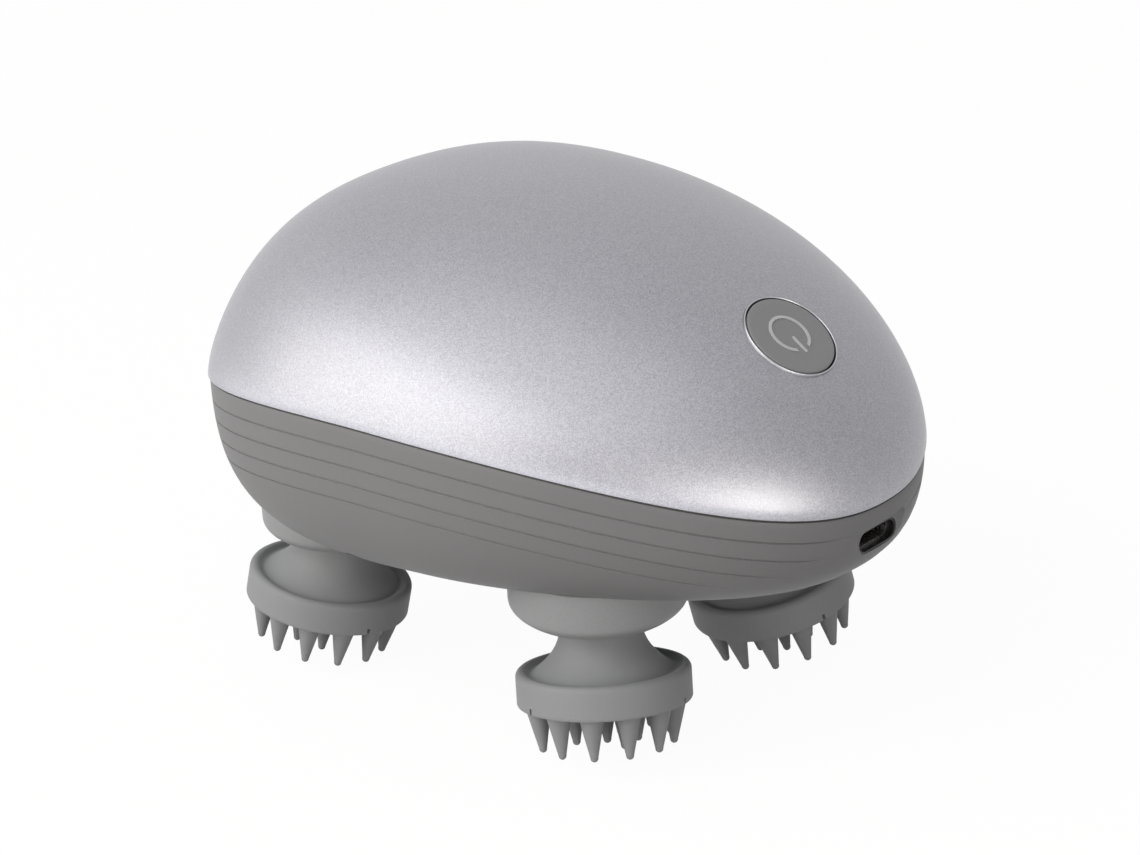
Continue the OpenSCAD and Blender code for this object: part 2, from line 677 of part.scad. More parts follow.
pinion_hub_r = 3.6;
module idler_pins() {
    color("#c8cacc") for (s = [-1, 1], y = [idler_y, -idler_y])
        translate([s * axis_dx / 2, axis_back + y, plate_z - 0.1])
            cylinder(r = idler_pin_r, h = cover_top - plate_z + 0.1);
}
module wheel_pins() {
    color("#c8cacc") for (s = [-1, 1])
        translate([s * axis_dx / 2, axis_back, plate_z - 0.1])
            cylinder(r = wheel_pin_r, h = wheel_z + wheel_t + 1.2 - plate_z);
}
module output_bushes() {
    color("#b79a5a") for (c = [FL, FR, RL, RR]) at_axis(c)
        translate([0, 0, seat_z + floor_t + 0.02]) difference() {
            union() {
                cylinder(r = bush_r, h = seat_h - floor_t);
                translate([0, 0, seat_h - floor_t]) cylinder(r = bush_r + 1, h = 0.9);
            }
            translate([0, 0, -1]) cylinder(r = shaft_r + run_fit, h = seat_h + 4);
        }
}
module shaft_seals() {
    color("#242426") for (c = [FL, FR, RL, RR]) at_axis(c) translate([0, 0, seat_z + 0.05])
        rotate_extrude() translate([shaft_r + run_fit, 0])
            square([bush_r - shaft_r - 2 * run_fit, seal_t - 0.1]);
}

module motor_body(w, h) {
    intersection() {
        circle(d = w);
        square([w + 1, h], center = true);
    }
}
can_len = motor_len - 4;
module motor_can() {
    color("#c6c8ca") translate([0, motor_y, worm_z]) rotate([-90, 0, 0]) difference() {
        union() {
            linear_extrude(height = can_len) motor_body(motor_w, motor_h);
            translate([0, 0, -1.6]) cylinder(r = 3, h = 1.7);
        }
        translate([0, 0, -3]) cylinder(r = motor_shaft_r + run_fit, h = can_len + 2);
    }
}
module motor_end_cap() {
    color("#e8e6de") translate([0, motor_y + can_len + 0.02, worm_z]) rotate([-90, 0, 0]) {
        linear_extrude(height = 4) motor_body(motor_w - 0.4, motor_h - 0.4);
        for (s = [-1, 1]) translate([s * 5 - 0.9, -0.2, 3.9]) cube([1.8, 0.4, 2.6]);
    }
}
clamp_x = motor_w / 2 + 5;
clamp_y = motor_y + can_len / 2 + 4;
clamp_t = 1.2;
module motor_clamp() {
    color("#a8abae") translate([0, clamp_y, 0]) difference() {
        union() {
            translate([-motor_w / 2 - clamp_t - 0.1, -4, cover_top + 5.1])
                cube([motor_w + 2 * clamp_t + 0.2, 8, motor_h - 4.9 + clamp_t]);
            translate([-clamp_x - 2.6, -4, cover_top + 5.1]) cube([2 * clamp_x + 5.2, 8, clamp_t]);
        }
        translate([-motor_w / 2 - 0.1, -5, 0]) cube([motor_w + 0.2, 10, cover_top + rest_gap + motor_h + 0.1]);
        for (s = [-1, 1]) translate([s * clamp_x, 0, cover_top]) cylinder(r = screw_r + 0.1, h = 20);
    }
}
module clamp_screws() {
    color("#b0b2b4") for (s = [-1, 1])
        translate([s * clamp_x, clamp_y, cover_top + 5.12 + clamp_t])
            screw(screw_r * 0.9, screw_head_r * 0.9, 5);
}
worm_bush_y = axis_back - worm_len / 2 - 2.6;
worm_bush_r = 2.4;
module worm_bush() {
    color("#b79a5a") translate([0, worm_bush_y - 1.5, worm_z]) rotate([-90, 0, 0]) difference() {
        cylinder(r = worm_bush_r, h = 3.2);
        translate([0, 0, -1]) cylinder(r = motor_shaft_r + run_fit, h = 6);
    }
}
module battery_cell() {
    color("#3f6f9a") translate([-cell_len / 2, cell_y, cell_z]) rotate([0, 90, 0])
        cylinder(r = cell_r, h = cell_len);
}
module battery_cap() {
    color("#c9cbcd") translate([cell_len / 2 + 0.02, cell_y, cell_z]) rotate([0, 90, 0]) {
        cylinder(r = cell_r - 0.8, h = 0.5);
        cylinder(r = 2.8, h = 1.4);
    }
}
module motor_shaft() {
    color("#d0d2d4") translate([0, worm_bush_y - 1.8, worm_z]) rotate([-90, 0, 0])
        cylinder(r = motor_shaft_r, h = motor_y + can_len - 1.4 - worm_bush_y);
}

// Worm: a thread of trapezoid section wound on its core
lead = PI * gear_m;
thread_sides = 20;
thread_turns = (worm_len - 2) / lead;
function thread_half(r) = (lead / 2 - worm_thin) / 2 - (r - worm_r) * tan(pressure);
worm_root = worm_r - tooth_down;
worm_tip = worm_r + tooth_up;
module worm() {
    n = ceil(thread_turns * thread_sides);
    half_n = n / 2;
    section = [[worm_root - 0.3, thread_half(worm_root)], [worm_tip, thread_half(worm_tip)],
        [worm_tip, -thread_half(worm_tip)], [worm_root - 0.3, -thread_half(worm_root)]];
    points = [for (i = [0:n]) let (turn = (i - half_n) / thread_sides, a = 90 + 360 * (turn - 0.5))
        each [for (q = section) [q[0] * sin(a), axis_back + turn * lead + q[1], q[0] * cos(a)]]];
    faces = concat([[0, 1, 2, 3]],
        [for (i = [0:n - 1], j = [0:3]) each let (a = 4 * i + j, b = 4 * i + (j + 1) % 4)
            [[a, a + 4, b], [b, a + 4, b + 4]]],
        [[4 * n + 3, 4 * n + 2, 4 * n + 1, 4 * n]]);
    color("#e6e2d2") translate([0, 0, worm_z]) difference() {
        union() {
            translate([0, axis_back, 0]) rotate([-90, 0, 0])
                cylinder(r = worm_root, h = worm_len, center = true);
            polyhedron(points = points, faces = faces, convexity = 8);
        }
        translate([0, axis_back, 0]) rotate([-90, 0, 0])
            cylinder(r = motor_shaft_r + push_fit, h = worm_len + 2, center = true);
    }
}

// Involute gear outline with a tooth centred on its +X side
function inv_pt(rb, u) = [rb * sqrt(1 + u * u), u * 180 / PI - atan(u)];
function gear_points(teeth, outer, play) =
    let (r = gear_m * teeth / 2, rb = r * cos(pressure), root = r - tooth_down,
         inv_p = tan(pressure) * 180 / PI - pressure,
         half = 90 / teeth - play / 4 / r * 180 / PI,
         u1 = sqrt(max(0, pow(outer / rb, 2) - 1)),
         flank = [for (i = [0:3]) inv_pt(rb, u1 * i / 3)],
         side = concat(root < rb ? [[root, 0]] : [], [for (f = flank) if (f[0] > root) f]))
    [for (k = [0:teeth - 1]) each concat(
        [for (i = [0:len(side) - 1]) let (a = k * 360 / teeth - half - inv_p + side[i][1])
            side[i][0] * [cos(a), sin(a)]],
        [for (i = [len(side) - 1:-1:0]) let (a = k * 360 / teeth + half + inv_p - side[i][1])
            side[i][0] * [cos(a), sin(a)]])];
module gear(teeth, t, turn) {
    rotate([0, 0, turn]) linear_extrude(height = t)
        polygon(gear_points(teeth, gear_m * teeth / 2 + tooth_up, backlash));
}

// Worm wheel and pinion, moulded in one piece; the wheel faces the worm with a tooth on the
// right side and with a gap on the left side
module drive_gear(s) {
    color("#efe9d8") translate([s * axis_dx / 2, axis_back, 0]) difference() {
        union() {
            translate([0, 0, gear_z]) gear(pinion_teeth, gear_t, 90);
            translate([0, 0, gear_z + gear_t - 0.1])
                cylinder(r = pinion_hub_r, h = wheel_z - gear_z - gear_t + 0.2);
            translate([0, 0, wheel_z]) gear(wheel_teeth, wheel_t, s > 0 ? 180 : 180 / wheel_teeth);
        }
        translate([0, 0, gear_z - 1]) cylinder(r = wheel_pin_r + run_fit, h = 30);
        translate([0, 0, wheel_z + wheel_t - 1]) difference() {
            cylinder(r = wheel_r - 3, h = 2);
            cylinder(r = pinion_hub_r, h = 2);
        }
    }
}
module idler(c) {
    color("#efe9d8") translate([c[0] * axis_dx / 2, axis_back + c[1] * idler_y, gear_z]) difference() {
        gear(idler_teeth, gear_t, c[1] * 90);
        translate([0, 0, -1]) cylinder(r = idler_pin_r + run_fit, h = gear_t + 2);
    }
}
hub_r = 5;
module output_gear(c) {
    color("#efe9d8") at_axis(c) translate([0, 0, gear_z]) difference() {
        gear(output_teeth, gear_t, 90 + 180 / output_teeth);
        translate([0, 0, -1]) cylinder(r = shaft_r + push_fit, h = gear_t + 2);
        for (z = [-1, gear_t - 1]) translate([0, 0, z]) difference() {
            cylinder(r = output_r - 3, h = 2);
            cylinder(r = hub_r, h = 2);
        }
    }
}
shaft_low = dome_top - 4.5;
module output_shaft(c) {
    color("#d0d2d4") at_axis(c) translate([0, 0, shaft_low])
        cylinder(r = shaft_r, h = cover_top - 0.2 - shaft_low);
}

// Outline of the dome, grown by a clearance where a mating piece is trimmed by it
module dome_form(grow) {
    rotate_extrude() polygon(concat(
        [[0, grow], [dome_r - 0.4 + grow, grow], [dome_r + grow, -0.4 + grow]],
        [for (a = [0:9:81]) [(dome_r + grow) * cos(a), -dome_band - (dome_drop + grow) * sin(a)]],
        [[0, -dome_band - dome_drop - grow]]));
}
post_low = 4.4;
post_top = 14;
module head_dome(c) {
    color("#8a8b8d") difference() {
        union() {
            at_axis(c) translate([0, 0, dome_top]) dome_form(0);
            at_head(c) translate([0, 0, post_low]) cylinder(r = post_r, h = post_top - post_low);
        }
        at_axis(c) translate([0, 0, shaft_low - push_fit]) cylinder(r = shaft_r + push_fit, h = 20);
    }
}

claw_sink = 1.2;
skirt_round = 0.9;
neck_top = 14.6;
flare_r = 5.2;
flare_h = 6.8;
claw_lean = 3;
function claw_r(z) = claw_tip_r + (claw_root_r - claw_tip_r) * (z + claw_len) / claw_len;
module claw(ring_r, a) {
    rotate([0, 0, a]) translate([ring_r, 0, -claw_len + claw_tip_r]) rotate([0, claw_lean * ring_r / claw_ring_r, 0]) {
        cylinder(r1 = claw_tip_r, r2 = claw_r(claw_sink), h = claw_len - claw_tip_r + claw_sink);
        sphere(r = claw_tip_r);
    }
}
module head_form() {
    rotate_extrude() polygon(concat(
        [[0, claw_sink], [skirt_r - skirt_wall, claw_sink], [skirt_r - skirt_wall, 0], [skirt_r - 0.25, 0],
         [skirt_r, 0.25]],
        [for (a = [0:18:90]) [skirt_r - skirt_round + skirt_round * cos(a), skirt_h - skirt_round + skirt_round * sin(a)]],
        [[skirt_r - 1.4, skirt_h - 0.12], [skirt_r - 1.8, skirt_h - 0.2]],
        [for (h = [0.04, 0.14, 0.26, 0.4, 0.56, 0.76, 1])
            [neck_r + flare_r * pow(1 - h, 2), skirt_h - 0.1 + flare_h * h]],
        [[neck_r, neck_top], [post_r + push_fit, neck_top], [post_r + push_fit, post_low - 0.1], [0, post_low - 0.1]]));
}
// The rear heads sit half a turn round from the front ones
module massage_head(c) {
    color("#838587") difference() {
        at_head(c) rotate([0, 0, c[1] > 0 ? 180 : 0]) {
            difference() {
                head_form();
                for (a = [60, 180, 300]) rotate([0, 0, a]) translate([skirt_r - skirt_wall - 0.5, -slot_w / 2, -1])
                    cube([skirt_wall + 2, slot_w, slot_h + 1]);
            }
            for (k = [0.5:360 / claw_step]) claw(claw_ring_r, claw_step * k);
            for (k = [0:5]) claw(claw_inner_r, 30 + 60 * k);
            claw(0, 0);
        }
        at_axis(c) translate([0, 0, dome_top]) dome_form(0.05);
    }
}

upper_shell();
lower_shell();
shell_gasket();
button_ring();
power_button();
power_symbol();
port_sleeve();
charge_socket();
socket_tongue();
main_board();
charge_chip();
switch_board();
tact_switch();
board_screws();
shell_screws();
gear_plate();
gear_cover();
gear_screws();
idler_pins();
wheel_pins();
output_bushes();
shaft_seals();
motor_can();
motor_end_cap();
motor_clamp();
clamp_screws();
worm_bush();
battery_cell();
battery_cap();
motor_shaft();
worm();
drive_gear(-1);  // drive_gear_left
drive_gear(1);  // drive_gear_right
idler(FL);  // idler_front_left
idler(FR);  // idler_front_right
idler(RL);  // idler_rear_left
idler(RR);  // idler_rear_right
output_gear(FL);  // output_gear_front_left
output_gear(FR);  // output_gear_front_right
output_gear(RL);  // output_gear_rear_left
output_gear(RR);  // output_gear_rear_right
output_shaft(FL);  // output_shaft_front_left
output_shaft(FR);  // output_shaft_front_right
output_shaft(RL);  // output_shaft_rear_left
output_shaft(RR);  // output_shaft_rear_right
head_dome(FL);  // head_dome_front_left
head_dome(FR);  // head_dome_front_right
head_dome(RL);  // head_dome_rear_left
head_dome(RR);  // head_dome_rear_right
massage_head(FL);  // massage_head_front_left
massage_head(FR);  // massage_head_front_right
massage_head(RL);  // massage_head_rear_left
massage_head(RR);  // massage_head_rear_right
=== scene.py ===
import bpy
import json
import math
from mathutils import Matrix, Vector


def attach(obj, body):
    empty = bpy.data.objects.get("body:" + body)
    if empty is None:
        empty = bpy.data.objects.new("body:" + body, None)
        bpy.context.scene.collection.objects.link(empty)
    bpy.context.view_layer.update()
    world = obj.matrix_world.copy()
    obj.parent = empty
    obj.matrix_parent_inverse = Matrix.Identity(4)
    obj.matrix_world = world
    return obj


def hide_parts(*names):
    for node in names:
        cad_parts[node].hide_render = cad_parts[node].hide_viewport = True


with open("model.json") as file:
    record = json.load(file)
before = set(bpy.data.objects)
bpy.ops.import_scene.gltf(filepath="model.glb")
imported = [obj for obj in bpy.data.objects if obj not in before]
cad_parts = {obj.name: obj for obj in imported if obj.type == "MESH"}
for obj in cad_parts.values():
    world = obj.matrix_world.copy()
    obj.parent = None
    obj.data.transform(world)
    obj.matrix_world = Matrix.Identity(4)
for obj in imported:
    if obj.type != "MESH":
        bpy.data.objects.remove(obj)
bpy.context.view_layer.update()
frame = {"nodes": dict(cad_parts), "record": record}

# ---------------------------------------------------------------- camera
# The viewer stands off the front left corner, a little above the massager, as someone
# looking at it on a table would. A long lens keeps its outline nearly undistorted.
turn, dip, lean = -0.837, 0.385, -0.05
ahead = Vector((-math.sin(turn) * math.cos(dip), math.cos(turn) * math.cos(dip), -math.sin(dip)))
level_right = Vector((math.cos(turn), math.sin(turn), 0))
level_up = level_right.cross(ahead)
right = level_right * math.cos(lean) + level_up * math.sin(lean)
up = level_up * math.cos(lean) - level_right * math.sin(lean)
camera = bpy.data.objects.new("viewer", bpy.data.cameras.new("viewer"))
bpy.context.scene.collection.objects.link(camera)
body_middle = Vector((0, 0, 0.043293))
viewing_distance, to_left, to_below = 0.45, 0.001821, 0.001314
eye = body_middle - to_left * right - to_below * up - viewing_distance * ahead
camera.matrix_world = Matrix.Translation(eye) @ Matrix((right, up, -ahead)).transposed().to_4x4()
camera.data.lens = 89.53
camera.data.clip_start = 0.01
camera.data.clip_end = 20
bpy.context.scene.camera = camera
bpy.context.scene.view_settings.view_transform = "Standard"

# ---------------------------------------------------------------- upper shell
# The crown is injection-moulded in one piece, 2 mm thick, and sprayed with silver lacquer
# full of fine metal flake. Its rim is slightly rounded where it meets the seam. Lengths
# are in millimetres until a piece is seated.
BODY_LENGTH, BODY_WIDTH = 117.4, 94.8
OUTLINE_POWER, REAR_WIDENING = 2.2, 0.2
SEAM_MIDDLE, SEAM_RAKE, SEAM_DROP = 56.88, 3.05, 10.15
CROWN_HEIGHT, CROWN_BACK = 25.5, 14.3
CROWN_FLANK, CROWN_DOME = 1.56, 2.446
WALL = 2.0
SEAM_GAP, RIM_ROUNDING = 0.3, 0.2


def signed_power(value, power):
    """The power of the value's size, with the value's own sign."""
    return math.copysign(abs(value) ** power, value)


def outline(angle, inset=0.0):
    """A point of the body's egg-shaped outline, seen from above."""
    x = (BODY_WIDTH / 2 - inset) * signed_power(math.cos(angle), 2 / OUTLINE_POWER)
    y = (BODY_LENGTH / 2 - inset) * signed_power(math.sin(angle), 2 / OUTLINE_POWER)
    return x * (1 + REAR_WIDENING * math.sin(angle)), y


def seam_height(angle):
    """The seam bows down toward both ends and lies higher at the rear."""
    along = outline(angle)[1] / (BODY_LENGTH / 2)
    return SEAM_MIDDLE + SEAM_RAKE * along - SEAM_DROP * along * along


def crown_point(share, angle, inset=0.0, rise=0.0):
    """A point of the crown, share 0 at the seam and 1 at the top."""
    x, y = outline(angle, inset)
    narrowing = (1 - min(share, 1) ** CROWN_FLANK) ** (1 / CROWN_DOME)
    level = (seam_height(angle) + rise) * (1 - share) + (SEAM_MIDDLE + CROWN_HEIGHT) * share
    return Vector((x * narrowing, y * narrowing + CROWN_BACK * share * share, level))


def pick_alone(piece):
    """Object mode, with this piece and nothing else selected and active."""
    if bpy.context.object and bpy.context.object.mode != "OBJECT":
        bpy.ops.object.mode_set(mode="OBJECT")
    bpy.ops.object.select_all(action="DESELECT")
    piece.select_set(True)
    bpy.context.view_layer.objects.active = piece


def stacked_rings(name, count, sides):
    """A tube of plain rings one unit apart, drawn up from a circle, closed by a pole point."""
    bpy.ops.object.select_all(action="DESELECT")
    bpy.ops.mesh.primitive_circle_add(vertices=sides, radius=1)
    piece = bpy.context.object
    piece.name = name
    bpy.ops.object.mode_set(mode="EDIT")
    bpy.ops.mesh.select_all(action="SELECT")
    for _ in range(count):
        bpy.ops.mesh.extrude_edges_move(TRANSFORM_OT_translate={"value": (0, 0, 1)})
    bpy.ops.mesh.merge(type="CENTER")
    bpy.ops.object.mode_set(mode="OBJECT")
    return piece


def lofted(name, rings, pole, sides):
    """A skin through the given rings, each a function of the angle, up to the pole point."""
    piece = stacked_rings(name, len(rings), sides)
    for vertex in piece.data.vertices:
        ring = round(vertex.co.z)
        angle = math.atan2(vertex.co.y, vertex.co.x)
        vertex.co = pole if ring == len(rings) else rings[ring](angle)
    pick_alone(piece)
    bpy.ops.object.mode_set(mode="EDIT")
    bpy.ops.mesh.select_all(action="SELECT")
    bpy.ops.mesh.normals_make_consistent(inside=False)
    bpy.ops.object.mode_set(mode="OBJECT")
    return piece


def use_modifier(piece, kind, **settings):
    """Adds a modifier with these settings and applies it."""
    pick_alone(piece)
    modifier = piece.modifiers.new(kind.lower(), kind)
    for key, value in settings.items():
        setattr(modifier, key, value)
    bpy.ops.object.modifier_apply(modifier=modifier.name)


def cut(piece, cutter, operation="DIFFERENCE"):
    """Cuts the cutter out of the piece, or joins it on, and throws the cutter away."""
    use_modifier(piece, "BOOLEAN", object=cutter, operation=operation, solver="EXACT")
    bpy.data.objects.remove(cutter)


def place_by(piece, matrix):
    """Moves the piece's mesh, and leaves the object itself at the origin."""
    piece.data.transform(matrix)
    piece.matrix_world = Matrix()


# Rings at even steps of angle, so that the curve is as smooth at the rim as at the top.
crown_shares = [
    (1 - math.cos(k * math.pi / 72) ** CROWN_DOME) ** (1 / CROWN_FLANK) for k in range(2, 36)
]
crown_rings = [
    lambda angle: crown_point(0, angle, RIM_ROUNDING, SEAM_GAP / 2),
    lambda angle: crown_point(0, angle, RIM_ROUNDING * 0.3, SEAM_GAP / 2 + RIM_ROUNDING * 0.3),
    lambda angle: crown_point(0, angle, 0, SEAM_GAP / 2 + RIM_ROUNDING),
]
crown_rings += [
    lambda angle, share=share: crown_point(share, angle, 0, SEAM_GAP / 2) for share in crown_shares
]
crown = lofted("crown", crown_rings, Vector((0, CROWN_BACK, SEAM_MIDDLE + CROWN_HEIGHT)), 160)
use_modifier(crown, "SOLIDIFY", thickness=WALL, offset=-1)

FRONT = -math.pi / 2
BUTTON_SHARE = 0.58
BUTTON_BORE = 7.67
slope_step = crown_point(BUTTON_SHARE + 0.01, FRONT) - crown_point(BUTTON_SHARE - 0.01, FRONT)
button_frame = Matrix.Translation(crown_point(BUTTON_SHARE, FRONT))
button_frame = button_frame @ Matrix.Rotation(math.atan2(slope_step.z, slope_step.y), 4, "X")
bpy.ops.mesh.primitive_cylinder_add(vertices=96, radius=BUTTON_BORE, depth=14)
button_bore = bpy.context.object
place_by(button_bore, button_frame)
cut(crown, button_bore)


class Wire:
    """One output of a finish's nodes. Arithmetic on it adds the Math nodes."""

    def __init__(self, finish, socket):
        self.finish, self.socket = finish, socket

    def maths(self, operation, first, second):
        return self.finish.node("Math", {"operation": operation}, {0: first, 1: second})

    def __add__(self, other):
        return self.maths("ADD", self, other)

    def __radd__(self, other):
        return self.maths("ADD", other, self)

    def __mul__(self, other):
        return self.maths("MULTIPLY", self, other)

    def __rmul__(self, other):
        return self.maths("MULTIPLY", other, self)

    def __pow__(self, other):
        return self.maths("POWER", self, other)


class Finish:
    """A surface finish: a Principled shader and the nodes that vary it over the surface."""

    def __init__(self, name, **fixed):
        self.material = bpy.data.materials.new(name)
        self.material.use_nodes = True
        self.tree = self.material.node_tree
        self.shader = self.tree.nodes["Principled BSDF"]
        for socket, value in fixed.items():
            self.shader.inputs[socket.replace("_", " ")].default_value = value
        self.place = self.node("TexCoord", {}, {}, "Object")

    def node(self, kind, settings, sockets, output=0):
        """A node with these settings and socket values, as a wire from the chosen output."""
        made = self.tree.nodes.new("ShaderNode" + kind)
        for key, value in settings.items():
            setattr(made, key, value)
        for key, value in sockets.items():
            self.join(value, made.inputs[key])
        return Wire(self, made.outputs[output]) if output is not None else None

    def join(self, value, socket):
        """Links a wire to the socket, or sets a constant on it."""
        if isinstance(value, Wire):
            self.tree.links.new(value.socket, socket)
        else:
            socket.default_value = value

    def feed(self, **sockets):
        """Gives the shader's own sockets their wires."""
        for name, value in sockets.items():
            self.join(value, self.shader.inputs[name.replace("_", " ")])
        return self

    def noise(self, scale, detail=2.0, roughness=0.5):
        sockets = {"Vector": self.place, "Scale": scale, "Detail": detail, "Roughness": roughness}
        return self.node("TexNoise", {}, sockets)

    def blend(self, share, low, high):
        """A colour between the two, by share."""
        return self.node("Mix", {"data_type": "RGBA"}, {0: share, 6: (*low, 1), 7: (*high, 1)}, 2)

    def relief(self, height, depth, strength=1.0):
        """A bump of this depth, in millimetres."""
        sockets = {"Strength": strength, "Distance": depth / 1000, "Height": height}
        return self.node("Bump", {}, sockets)


def flake_lacquer():
    """Silver lacquer: each tiny cell is one flake, with a tone and a tilt of its own."""
    paint = Finish("silver_flake_lacquer", Metallic=0.8, Coat_Weight=0.2, Coat_Roughness=0.30)
    cell = paint.node("TexVoronoi", {}, {"Vector": paint.place, "Scale": 8500.0}, "Color")
    flake = paint.node("SeparateColor", {}, {0: cell}, 0)
    cloud = paint.noise(55.0, 3.0)
    paint.feed(
        Base_Color=paint.blend(
            flake * 0.85 + cloud * 0.15, (0.262, 0.262, 0.284), (0.450, 0.450, 0.487)),
        Roughness=0.40 + flake * 0.10,
        Normal=paint.relief(flake, 0.02, 0.25),
    )
    return paint


def seat(piece, finish, body, slot, *nodes, sharp=35):
    """Puts a finished piece, made in millimetres, on the CAD body that it moves with."""
    place_by(piece, Matrix.Scale(0.001, 4))
    piece.data.materials.clear()
    piece.data.materials.append(finish.material)
    pick_alone(piece)
    bpy.ops.object.shade_smooth_by_angle(angle=math.radians(sharp))
    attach(piece, body)
    if nodes:
        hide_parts(*nodes)
    return piece


seat(crown, flake_lacquer(), "housing", "shell_silver", "upper_shell")

# ---------------------------------------------------------------- lower shell
# The bowl is moulded in warm grey plastic and left matt. Four thin lines run round its
# sides, each turning dome stands in a round recess of its underside, and the charging port
# has a shallow pocket.
BOWL_HEIGHT, BOWL_BACK = 29.5, 1.1
BOWL_FLANK, BOWL_CORNER, BOWL_WIDENING = 2.557, 5.92, 0.11
RIM_STEP = 0.25  # the bowl stands this far inside the crown's rim
BOWL_ROUNDING = 0.35
GROOVES_DOWN = [3.5, 6.55, 9.6, 12.65]  # below the seam
GROOVES_START = [8, 12, 20, 31]  # degrees round from the front
GROOVE_FADING = 10  # degrees
GROOVE_EDGES = [(-0.2, 0), (-0.07, 0.14), (0.05, 0.19), (0.17, 0)]  # (down, in)
SIDE_START = GROOVES_DOWN[-1] + 0.9  # just under the lowest line
BOWL_FLOOR = SEAM_MIDDLE - BOWL_HEIGHT
DOME_SEAT = BOWL_FLOOR + 3.8
RECESS_RADIUS, RECESS_DRILL = 14.25, 20
CUP_RADIUS, CUP_DOWN, CUP_UP = 15.65, 13.8, 2.2  # the round wall over each recess
POST_RADIUS, WELL_RADIUS, WELL_TOP = 3.0, 1.9, 45.8
BELOW_FLOOR, ABOVE_RIM = 20, 60  # heights clear of the bowl at either end
HEAD_ASIDE, HEAD_MIDDLE, HEAD_ALONG = 18.2, 9.2, 27.2
HEAD_SPOTS = {
    "front_left": (-1, -1), "front_right": (1, -1), "rear_left": (-1, 1), "rear_right": (1, 1),
}


def axis_spot(side, end):
    """Where the upright turning axis of a corner stands."""
    return Vector((side * HEAD_ASIDE, HEAD_MIDDLE + end * HEAD_ALONG, 0))


def bowl_point(share, angle, inset=0.0, rise=0.0):
    """A point of the bowl, share 0 at the seam and 1 at the floor."""
    x, y = outline(angle, inset)
    narrowing = (1 - min(share, 1) ** BOWL_FLANK) ** (1 / BOWL_CORNER)
    widening = 1 + BOWL_WIDENING * share * share * math.sin(angle)
    level = (seam_height(angle) + rise) * (1 - share) + BOWL_FLOOR * share
    return Vector((x * narrowing * widening, y * narrowing - BOWL_BACK * share * share, level))


def groove_ring(index, offset, depth):
    """One edge of a side line, which runs out before the charging port."""
    def ring(angle):
        from_front = abs((math.degrees(angle) + 270) % 360 - 180)
        fading = min(1, max(0, (from_front - GROOVES_START[index]) / GROOVE_FADING))
        share = (GROOVES_DOWN[index] + offset) / (seam_height(angle) - BOWL_FLOOR)
        return bowl_point(share, angle, RIM_STEP + depth * fading)
    return ring


def side_ring(step):
    """A ring between the lowest side line and the floor."""
    def ring(angle):
        start = SIDE_START / (seam_height(angle) - BOWL_FLOOR)
        return bowl_point(start + (1 - start) * step, angle, RIM_STEP)
    return ring


def plain_ring(down):
    """A ring this far below the seam."""
    return lambda angle: bowl_point(down / (seam_height(angle) - BOWL_FLOOR), angle, RIM_STEP)


def solid_loft(name, rings, pole, sides):
    """A lofted skin whose open ring is closed with a face."""
    piece = lofted(name, rings, pole, sides)
    bpy.ops.object.mode_set(mode="EDIT")
    bpy.ops.mesh.select_all(action="SELECT")
    bpy.ops.mesh.region_to_loop()
    bpy.ops.mesh.edge_face_add()
    bpy.ops.mesh.select_all(action="SELECT")
    bpy.ops.mesh.normals_make_consistent(inside=False)
    bpy.ops.object.mode_set(mode="OBJECT")
    return piece


def inner_ring(share, inset, top=0.0):
    """A ring inside the wall, or level with the top of a solid if a height is given."""
    def ring(angle):
        point = bowl_point(share, angle, inset) + Vector((0, 0, inset * share))
        return Vector((point.x, point.y, top)) if top else point
    return ring


bowl_rings = [
    inner_ring(0, 5),  # closes the top, well inside the rim
    lambda angle: bowl_point(0, angle, RIM_STEP + BOWL_ROUNDING, -SEAM_GAP / 2),
    lambda angle: bowl_point(0, angle, RIM_STEP + 0.1, -SEAM_GAP / 2 - 0.1),
    lambda angle: bowl_point(0, angle, RIM_STEP, -SEAM_GAP / 2 - BOWL_ROUNDING),
    plain_ring(1.3), plain_ring(2.5),
]
for index in range(4):
    if index:  # a ring midway between this line and the one above
        bowl_rings.append(plain_ring(GROOVES_DOWN[index] - 1.52))
    bowl_rings += [groove_ring(index, *edge) for edge in GROOVE_EDGES]
bowl_rings += [side_ring(1 - (1 - k / 22) ** 2) for k in range(22)]
bowl = solid_loft("bowl", bowl_rings, Vector((0, -BOWL_BACK, BOWL_FLOOR)), 200)
HOLLOW_TOP, CORE_TOP = SEAM_MIDDLE + 9, SEAM_MIDDLE - 8
steps = [1 - (1 - k / 24) ** 2 for k in range(24)]
hollow_rings = [inner_ring(0, WALL, HOLLOW_TOP)] + [inner_ring(step, WALL) for step in steps]
cut(bowl, solid_loft("hollow", hollow_rings, Vector((0, -BOWL_BACK, BOWL_FLOOR + WALL)), 120))
BOSS_ROOT = 1.2  # how deep the bosses sink into the wall
core_rings = [inner_ring(0.3, BOSS_ROOT, CORE_TOP)]
core_rings += [inner_ring(step, BOSS_ROOT) for step in steps if step > 0.6]
core = solid_loft("core", core_rings, Vector((0, -BOWL_BACK, BOWL_FLOOR + BOSS_ROOT)), 120)

REAR_SCREWS = [Vector((-39.5, 12, 0)), Vector((39.5, 12, 0))]
FRONT_SCREWS = [Vector((-23, -41, 0)), Vector((23, -41, 0))]


def add_boss(place, radius, low, high, sides):
    """Joins a round boss on the inside of the bowl, trimmed by the core."""
    bpy.ops.mesh.primitive_cylinder_add(vertices=sides, radius=radius, depth=high - low)
    boss = bpy.context.object
    place_by(boss, Matrix.Translation(place + Vector((0, 0, (low + high) / 2))))
    use_modifier(boss, "BOOLEAN", object=core, operation="INTERSECT", solver="EXACT")
    cut(bowl, boss, "UNION")


